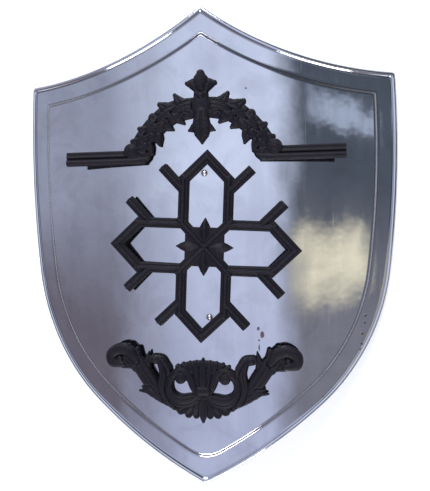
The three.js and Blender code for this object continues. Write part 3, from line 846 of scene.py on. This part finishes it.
def grip_mesh(face_z):
    """A flat strap with eased edges, bent down from its two feet to stand off the plate."""
    g = GRIP
    half = g["thickness"] / 2
    bend, foot_end = g["reach"] - g["foot"], g["reach"] + g["foot"]
    side = bent_line([(-foot_end, 0), (-bend, 0), (-bend + g["slope"], -g["depth"]),
                      (bend - g["slope"], -g["depth"]), (bend, 0), (foot_end, 0)], g["bend"])
    side = Line(side).at(np.linspace(0, Line(side).length, GRIP_ROWS))
    tangent = np.gradient(side, axis=0)
    tangent /= np.linalg.norm(tangent, axis=1)[:, None]
    r, w = g["edge"], g["width"] / 2
    section = []
    for cx, cz, start in ((w - r, half - r, 0), (r - w, half - r, 90), (r - w, r - half, 180),
                          (w - r, r - half, 270)):
        for step in range(EDGE_STEPS + 1):
            a = math.radians(start + 90 * step / EDGE_STEPS)
            section.append((cx + r * math.cos(a), cz + r * math.sin(a)))
    section = np.array(section)
    taper = np.ones(len(side))
    for k, share in enumerate(GRIP_ENDS):
        taper[k] = taper[-1 - k] = share
    rings = []
    for (y, z), (ty, tz), share in zip(side, tangent, taper):
        x = section[:, 0] * share
        rings.append(np.column_stack([x, y - section[:, 1] * tz, z + section[:, 1] * ty]))
    points = np.concatenate(rings)
    n, count = len(section), len(side)
    faces = [(row * n + k, (row + 1) * n + k, (row + 1) * n + (k + 1) % n, row * n + (k + 1) % n)
             for row in range(count - 1) for k in range(n)]
    faces.append(tuple(range(n)))
    faces.append(tuple((count - 1) * n + k for k in reversed(range(n))))
    return settle(points, g, face_z - half), faces


def lathe(profile, count=36):
    """Turns a profile of (radius, z) about the z axis; its first and last points are on the axis."""
    points, faces = [(0, 0, profile[0][1])], []
    rings = profile[1:-1]
    for radius, z in rings:
        for k in range(count):
            a = 2 * math.pi * k / count
            points.append((radius * math.cos(a), radius * math.sin(a), z))
    points.append((0, 0, profile[-1][1]))
    last = len(points) - 1
    for k in range(count):
        after = (k + 1) % count
        faces.append((0, 1 + after, 1 + k))
        faces.append((last, 1 + (len(rings) - 1) * count + k, 1 + (len(rings) - 1) * count + after))
        for row in range(len(rings) - 1):
            here, ahead = 1 + row * count, 1 + (row + 1) * count
            faces.append((here + k, here + after, ahead + after, ahead + k))
    return np.array(points), faces


def rivet_profile(head_z, tail_z):
    """Tail dome, shank and head dome, each dome with a small flat lip at its foot."""
    r = RIVET
    profile = [(0.0, tail_z - r["tail_rise"])]
    for k in range(1, DOME_STEPS + 1):
        a = math.pi / 2 * k / DOME_STEPS
        profile.append((r["tail"] * math.sin(a), tail_z - r["tail_rise"] * math.cos(a)))
    profile += [(r["shank"], tail_z + r["lip"]), (r["shank"], head_z - r["lip"])]
    for k in range(DOME_STEPS):
        a = math.pi / 2 * k / DOME_STEPS
        profile.append((r["head"] * math.cos(a), head_z + r["rise"] * math.sin(a)))
    profile.append((0.0, head_z + r["rise"]))
    return profile


# ---------------------------------------------------------------- finishes

def new_material(name):
    material = bpy.data.materials.new(name)
    material.use_nodes = True
    material.node_tree.nodes.clear()
    nodes = Tree(material.node_tree)
    shader = nodes.add("ShaderNodeBsdfPrincipled")
    nodes.add("ShaderNodeOutputMaterial", None, Surface=shader.outputs[0])
    place = nodes.add("ShaderNodeTexCoord").outputs["Object"]
    return material, nodes, shader, place


def noise(nodes, place, scale, detail=3.0, rough=0.55, distortion=0.0):
    made = nodes.add("ShaderNodeTexNoise", {"noise_dimensions": "3D"}, Vector=place, Scale=scale,
                     Detail=detail, Roughness=rough, Distortion=distortion)
    return made.outputs[0]


def streaks(nodes, place, scale, turn=0.0, detail=3.0, rough=0.6):
    """Noise on coordinates turned about z and scaled unevenly, so that it runs one way."""
    made = nodes.add("ShaderNodeMapping", {"vector_type": "POINT"}, Vector=place)
    made.inputs["Rotation"].default_value = (0, 0, turn)
    made.inputs["Scale"].default_value = scale
    return noise(nodes, made.outputs[0], 1.0, detail, rough)


def ranged(nodes, value, low, high, to_low=0.0, to_high=1.0):
    """Takes low..high to to_low..to_high, held at both ends."""
    made = nodes.add("ShaderNodeMapRange", {"clamp": True})
    for socket, number in zip(made.inputs[:5], (value, low, high, to_low, to_high)):
        nodes.put(socket, number)
    return made.outputs[0]


def tinted(nodes, share, first, second):
    """A colour from first to second."""
    made = nodes.add("ShaderNodeMix", {"data_type": "RGBA"})
    nodes.put(made.inputs[0], share)
    nodes.put(made.inputs[6], first if isinstance(first, bpy.types.NodeSocket) else (*first, 1.0))
    nodes.put(made.inputs[7], second if isinstance(second, bpy.types.NodeSocket) else (*second, 1.0))
    return made.outputs[2]


def roughened(nodes, shader, *layers):
    """Stacks bumps of (height, depth in millimetres) on the shader's normal."""
    normal = None
    for height, depth in layers:
        bump = nodes.add("ShaderNodeBump", None, Height=height, Distance=depth * MM, Strength=1.0)
        if normal is not None:
            nodes.put(bump.inputs["Normal"], normal)
        normal = bump.outputs[0]
    nodes.put(shader.inputs["Normal"], normal)


def away_from(nodes, flat, x, y, half_x=1.0, half_y=1.0):
    """Distance from a place in millimetres, counted in half widths and half heights."""
    dx = nodes.over(nodes.less(flat[0], x * MM), half_x * MM)
    dy = nodes.over(nodes.less(flat[1], y * MM), half_y * MM)
    return nodes.math("SQRT", nodes.plus(nodes.times(dx, dx), nodes.times(dy, dy)))


# Rust-brown runs and freckles on the plate: middle x, middle y, half width, half height.
STAINS = [
    (69, -102, 1.5, 2.0), (74, -110, 2.0, 3.5), (70, -117, 1.0, 1.0), (70, -126, 0.7, 4.0),
    (56, 200, 1.0, 1.0), (150, -191, 1.5, 1.0),
    (205, -89, 1.5, 1.5), (204, -98, 1.0, 1.5), (201, -112, 1.5, 1.5), (200, -125, 1.5, 1.5),
    (198, -132, 1.0, 1.5),
]


def plate_steel():
    """Polished mild steel, clouded by handling, wiped lengthwise, with a few rusty runs."""
    material, nodes, shader, place = new_material("plate_steel")
    clouds = noise(nodes, place, 9.0, 4.0, 0.6)
    wipes = streaks(nodes, place, (26, 3.2, 8), 0.0, 4.0, 0.62)
    smears = streaks(nodes, place, (90, 7, 20), 0.12)
    grain = streaks(nodes, place, (2600, 120, 600), 0.03, 2.0, 0.5)
    hairs = streaks(nodes, place, (900, 14, 200), -0.5, 2.0, 0.7)
    hairs_across = streaks(nodes, place, (700, 12, 200), 0.9, 2.0, 0.7)
    scratches = nodes.math("MAXIMUM", ranged(nodes, hairs, 0.66, 0.74),
                           ranged(nodes, hairs_across, 0.68, 0.76))

    flat = nodes.add("ShaderNodeSeparateXYZ", None, Vector=place).outputs
    wobble = nodes.times(nodes.less(noise(nodes, place, 260.0, 2.0), 0.5), 0.9)
    stain = 0.0
    for x, y, half_x, half_y in STAINS:
        away = nodes.plus(away_from(nodes, flat, x, y, half_x, half_y), wobble)
        stain = nodes.math("MAXIMUM", ranged(nodes, away, 0.85, 1.45, 1.0, 0.0), stain)
    # Grime in a ring round each rivet's head.
    for x, y in RIVETS:
        away = away_from(nodes, flat, x, y)
        grime = ranged(nodes, away, RIVET["head"] + 0.5, RIVET["head"] + 1.6, 0.9, 0.0)
        stain = nodes.math("MAXIMUM", stain, grime)
    freckle = nodes.add("ShaderNodeTexVoronoi", {"feature": "F1"}, Vector=place, Scale=95.0)
    freckle = ranged(nodes, freckle.outputs[0], 0.03, 0.075, 1.0, 0.0)
    freckle = nodes.times(freckle, ranged(nodes, noise(nodes, place, 14.0), 0.60, 0.70))

    colour = tinted(nodes, ranged(nodes, clouds, 0.3, 0.7), (0.60, 0.61, 0.67), (0.74, 0.75, 0.80))
    colour = tinted(nodes, ranged(nodes, wipes, 0.52, 0.75, 0.0, 0.35), colour, (0.50, 0.48, 0.53))
    smudges = noise(nodes, place, 21.0, 5.0, 0.62, 0.4)
    colour = tinted(nodes, ranged(nodes, smudges, 0.50, 0.72, 0.0, 0.42), colour, (0.42, 0.41, 0.45))
    colour = tinted(nodes, nodes.times(scratches, 0.18), colour, (0.86, 0.87, 0.9))
    colour = tinted(nodes, nodes.times(freckle, 0.6), colour, (0.16, 0.10, 0.08))
    colour = tinted(nodes, nodes.times(stain, 0.88), colour, (0.10, 0.035, 0.03))
    # Painted shade: the outside of the rolled edge, its crease and the slope up to the panel are
    # darkened, standing in for the dark reflections and shade along them.
    inset = nodes.add("ShaderNodeAttribute", {"attribute_name": "inset"}).outputs["Fac"]
    painted_rim_shade = ranged(nodes, inset, 0.6, 2.6, 0.86, 0.0)
    for middle, reach, depth in [(2 * BEAD + 0.8, 1.6, 0.60), (BORDER - STEP_RUN / 2, 3.6, 0.84)]:
        away = nodes.math("ABSOLUTE", nodes.less(inset, middle))
        painted_rim_shade = nodes.math("MAXIMUM", painted_rim_shade, ranged(nodes, away, 0.4 * reach, reach, depth, 0.0))
    painted_rim_shade = nodes.times(painted_rim_shade, ranged(nodes, clouds, 0.25, 0.6, 0.75, 1.0))
    # The painted shade is weaker toward the point, so the slope stays bright there.
    painted_rim_shade = nodes.times(painted_rim_shade, ranged(nodes, flat[1], -0.22, -0.10, 0.35, 1.0))
    # The painted shade darkens the plate's colour here.
    colour = tinted(nodes, painted_rim_shade, colour, (0.10, 0.095, 0.11))
    nodes.put(shader.inputs["Base Color"], colour)
    shader.inputs["Metallic"].default_value = 1.0

    rough = nodes.plus(ranged(nodes, clouds, 0.3, 0.75, 0.03, 0.085),
                       ranged(nodes, smears, 0.45, 0.8, 0.0, 0.06))
    rough = nodes.plus(rough, nodes.times(scratches, 0.06))
    rough = nodes.plus(rough, nodes.times(stain, 0.45), clamp=True)
    nodes.put(shader.inputs["Roughness"], rough)
    roughened(nodes, shader, (grain, 0.0009), (scratches, -0.006), (wipes, 0.006), (clouds, 0.30),
              (stain, 0.05))
    return material


def black_iron():
    """Cast iron under a thin matte black, worn through on its raised crests, which are lightened partly
    as wear and partly as a painted highlight, with painted shade in its hollows.
    """
    material, nodes, shader, place = new_material("black_iron")
    proud = nodes.add("ShaderNodeAttribute", {"attribute_name": "proud"}).outputs["Fac"]
    skin = noise(nodes, place, 420.0, 4.0, 0.6)
    patches = noise(nodes, place, 34.0, 3.0, 0.6)
    pits = nodes.add("ShaderNodeTexVoronoi", {"feature": "F1"}, Vector=place, Scale=700.0).outputs[0]
    # Raised crests lightened, partly wear and partly a painted highlight.
    crest_wear_and_sheen = nodes.times(ranged(nodes, proud, 0.25, 0.9), ranged(nodes, skin, 0.38, 0.66))
    colour = tinted(nodes, ranged(nodes, patches, 0.40, 0.68), (0.0065, 0.0058, 0.0105),
                    (0.013, 0.0095, 0.013))
    # Painted shade: hollows, lower than what is round them, darkened toward black.
    colour = tinted(nodes, ranged(nodes, proud, -0.9, -0.1, 0.75, 0.0), colour,
                    (0.003, 0.0025, 0.005))
    colour = tinted(nodes, nodes.times(crest_wear_and_sheen, 0.5), colour, (0.040, 0.036, 0.048))
    nodes.put(shader.inputs["Base Color"], colour)
    shader.inputs["Specular IOR Level"].default_value = 0.16
    nodes.put(shader.inputs["Roughness"], ranged(nodes, skin, 0.3, 0.7, 0.46, 0.66))
    roughened(nodes, shader, (skin, 0.22), (patches, 0.25), (pits, 0.05))
    return material


def grip_steel():
    """Dull mill-finish strap, scuffed along the hand bar."""
    material, nodes, shader, place = new_material("grip_steel")
    scale = noise(nodes, place, 60.0, 5.0, 0.6)
    rolled = streaks(nodes, place, (900, 30, 500))
    colour = tinted(nodes, ranged(nodes, scale, 0.35, 0.7), (0.30, 0.30, 0.32), (0.46, 0.46, 0.48))
    colour = tinted(nodes, ranged(nodes, noise(nodes, place, 22.0), 0.56, 0.72, 0.0, 0.5), colour,
                    (0.20, 0.14, 0.11))
    nodes.put(shader.inputs["Base Color"], colour)
    shader.inputs["Metallic"].default_value = 1.0
    nodes.put(shader.inputs["Roughness"], ranged(nodes, scale, 0.3, 0.7, 0.34, 0.52))
    roughened(nodes, shader, (rolled, 0.02), (scale, 0.05))
    return material


def rivet_steel():
    """Bright rivets, dimpled by the setting tool."""
    material, nodes, shader, place = new_material("rivet_steel")
    dimples = nodes.add("ShaderNodeTexVoronoi", {"feature": "SMOOTH_F1"}, Vector=place,
                        Scale=900.0).outputs[0]
    grime = noise(nodes, place, 500.0, 3.0)
    colour = tinted(nodes, ranged(nodes, grime, 0.5, 0.72, 0.0, 0.7), (0.78, 0.78, 0.80),
                    (0.34, 0.30, 0.28))
    nodes.put(shader.inputs["Base Color"], colour)
    shader.inputs["Metallic"].default_value = 1.0
    nodes.put(shader.inputs["Roughness"], ranged(nodes, grime, 0.3, 0.7, 0.18, 0.34))
    roughened(nodes, shader, (dimples, 0.12))
    return material


# ---------------------------------------------------------------- the studio

def studio_floor():
    """A plain pale board."""
    material, nodes, shader, place = new_material("pale_board")
    tone = noise(nodes, place, 3.0, 2.0)
    nodes.put(shader.inputs["Base Color"], tinted(nodes, tone, (0.90, 0.90, 0.90), (0.93, 0.93, 0.93)))
    shader.inputs["Roughness"].default_value = 0.9
    shader.inputs["Specular IOR Level"].default_value = 0.1
    shader.inputs["Emission Color"].default_value = (1.0, 1.0, 1.0, 1.0)
    shader.inputs["Emission Strength"].default_value = 0.22
    corners = [(x * FLOOR_REACH, y * FLOOR_REACH, 0) for x, y in ((-1, -1), (1, -1), (1, 1), (-1, 1))]
    floor = make_mesh("floor", corners, [(0, 1, 2, 3)])
    floor.data.materials.append(material)


# The studio round the shield: a pale ceiling, a dim wall on the left and a dark flag on the right,
# each with its tone high up and its tone low down.
WALL = ((0.40, 0.43, 0.54), (0.20, 0.18, 0.22))
CEILING = ((0.80, 0.88, 1.08), (0.60, 0.65, 0.85))
FLAG = ((0.10, 0.12, 0.15), (0.25, 0.25, 0.30))
# Where one gives way to the next, as slopes of the way the light comes from.
WALL_ENDS, FLAG_STARTS, LOWERS = (-0.8, -0.2), (0.2, 0.4), (0.1, -0.25)
# Cards hung in front of the flag: middle and half size in slopes along X and Y, and colour.
CARDS = [
    (0.65, -0.08, 0.28, 0.07, (1.00, 0.94, 0.70)),     # warm, low
    (0.75, 0.21, 0.30, 0.03, (0.50, 0.58, 0.72)),      # cool strip, high
]
DRIFT = (0.32, 0.08)      # how far the edges of it all wander along X and Y, in the same slopes
HORIZON = ((0.74, 0.74, 0.76), 0.04, 0.12)      # its tone, and the heights between which it gives way

FLOOR_REACH = 4000.0

# Lamps: name, place and size in metres, watts and colour.
LAMPS = [
    ("lamp_above_apex", (-0.3, 2.2, 1.5), (1.6, 0.8), 66.0, (0.95, 0.97, 1.0)),
    ("lamp_below_point", (0.2, -2.4, 1.3), (1.8, 0.8), 56.0, (1.0, 1.0, 1.0)),
]

# The camera: degrees it is turned to the right, turned up and rolled, where it stands along its own
# right, up and back, and its lens and sensor.
CAMERA_TURNS = (7.91, 2.33, 0.655)
CAMERA_PLACE = (8.38, 1.73, 800.0)
CAMERA_LENS, CAMERA_SENSOR = 43.32, 36.0


def studio_world():
    """Soft light from all round: pale overhead, dim at the left, dark at the right."""
    world = bpy.data.worlds.new("room")
    bpy.context.scene.world = world
    world.use_nodes = True
    world.node_tree.nodes.clear()
    nodes = Tree(world.node_tree)
    way = nodes.add("ShaderNodeTexCoord").outputs["Generated"]
    part = nodes.add("ShaderNodeSeparateXYZ", None, Vector=way).outputs
    up = nodes.math("MAXIMUM", part[2], 0.05)
    slope_x = nodes.over(part[0], up)
    slope_y = nodes.over(part[1], up)
    spread = nodes.add("ShaderNodeCombineXYZ", None, X=slope_x,
                       Y=nodes.times(slope_y, 2.0)).outputs[0]
    drift = nodes.less(noise(nodes, spread, 4.0, 3.0), 0.5)
    sway = nodes.less(noise(nodes, spread, 5.5, 3.0, 0.5, 0.6), 0.5)
    slope_x = nodes.plus(slope_x, nodes.times(drift, DRIFT[0]))
    slope_y = nodes.plus(slope_y, nodes.times(sway, DRIFT[1]))
    tones = []
    for wall, ceiling, flag in zip(WALL, CEILING, FLAG):
        tone = tinted(nodes, ranged(nodes, slope_x, *WALL_ENDS), wall, ceiling)
        tones.append(tinted(nodes, ranged(nodes, slope_x, *FLAG_STARTS), tone, flag))
    colour = tinted(nodes, ranged(nodes, slope_y, *LOWERS), *tones)
    for x, y, half_x, half_y, tint in CARDS:
        dx = nodes.math("ABSOLUTE", nodes.less(slope_x, x))
        dy = nodes.math("ABSOLUTE", nodes.less(slope_y, y))
        lit = nodes.times(ranged(nodes, dx, 0.7 * half_x, 1.2 * half_x, 1.0, 0.0),
                         ranged(nodes, dy, 0.6 * half_y, 1.3 * half_y, 1.0, 0.0))
        colour = tinted(nodes, lit, colour, tint)
    horizon, starts, ends = HORIZON
    colour = tinted(nodes, ranged(nodes, part[2], starts, ends), horizon, colour)
    background = nodes.add("ShaderNodeBackground", None, Color=colour, Strength=1.0)
    nodes.add("ShaderNodeOutputWorld", None, Surface=background.outputs[0])


def studio_light(name, place, size, watts, colour):
    """A square softbox turned to the middle of the shield."""
    light = bpy.data.lights.new(name, "AREA")
    light.shape = "RECTANGLE"
    light.size, light.size_y = size
    light.energy = watts
    light.color = colour
    lamp = bpy.data.objects.new(name, light)
    lamp.location = place
    lamp.rotation_euler = (-Vector(place)).to_track_quat("-Z", "Y").to_euler()
    bpy.context.scene.collection.objects.link(lamp)


def studio_camera():
    """Looks down on the shield from a little to its right and above its middle."""
    turn_right, turn_up, roll = (math.radians(a) for a in CAMERA_TURNS)
    aim = (Matrix.Rotation(roll, 3, "Z") @ Matrix.Rotation(turn_up, 3, "X")
           @ Matrix.Rotation(-turn_right, 3, "Y")).transposed()
    spot = aim @ Vector(CAMERA_PLACE) + Vector((0, 0, LIFT))
    data = bpy.data.cameras.new("camera")
    data.sensor_width = CAMERA_SENSOR
    data.lens = CAMERA_LENS
    data.clip_end = 50.0
    camera = bpy.data.objects.new("camera", data)
    camera.matrix_world = Matrix.Translation(spot * MM) @ aim.to_4x4()
    bpy.context.scene.collection.objects.link(camera)
    bpy.context.scene.camera = camera


# ---------------------------------------------------------------- assembly

studio_camera()
studio_floor()
studio_world()
for lamp in LAMPS:
    studio_light(*lamp)

steel, iron = plate_steel(), black_iron()

plate_points, plate_faces, plate_insets = flat_plate()
plate = make_mesh("shield_plate_pressed", plate_points, plate_faces)
mark(plate, "inset", plate_insets)
plate = run_tree(plate, bowing_tree(steel), bow_radius=BOW_RADIUS * MM, springing=SPRINGING * MM,
                 lift=LIFT * MM, waviness=WAVINESS * MM, wave_length=WAVE_LENGTH * MM)
finish_piece(plate, steel, "plate_steel", "shield_plate")

cast("cross_casting", carve_cross(), CROSS_PLACE, "cross_ornament", iron, roll=(0.9, 0.5), soften=1)
cast("arch_casting", carve_arch(), ARCH_PLACE, "arch_ornament", iron)
cast("scroll_casting", carve_scroll(), SCROLL_PLACE, "scroll_ornament", iron)

grip = make_mesh("grip_strap_bent", *grip_mesh(top_of("grip_strap")))
finish_piece(grip, grip_steel(), "grip_steel", "grip_strap")

head_z = top_of("upper_rivet") - RIVET["rise"]
tail_z = back_of("upper_rivet") + RIVET["tail_rise"]
first = Vector((*RIVETS[0], 0.0)) * MM
spacing = Vector((*RIVETS[1], 0.0)) * MM - first
bright = rivet_steel()
rivets = make_mesh("grip_rivets", *lathe(rivet_profile(head_z, tail_z)))
rivets = run_tree(rivets, riveting_tree(bright), count=2, first=first, spacing=spacing)
finish_piece(rivets, bright, "rivet_steel", "upper_rivet", "lower_rivet")

bpy.context.scene.view_settings.view_transform = "Standard"

bpy.context.view_layer.update()
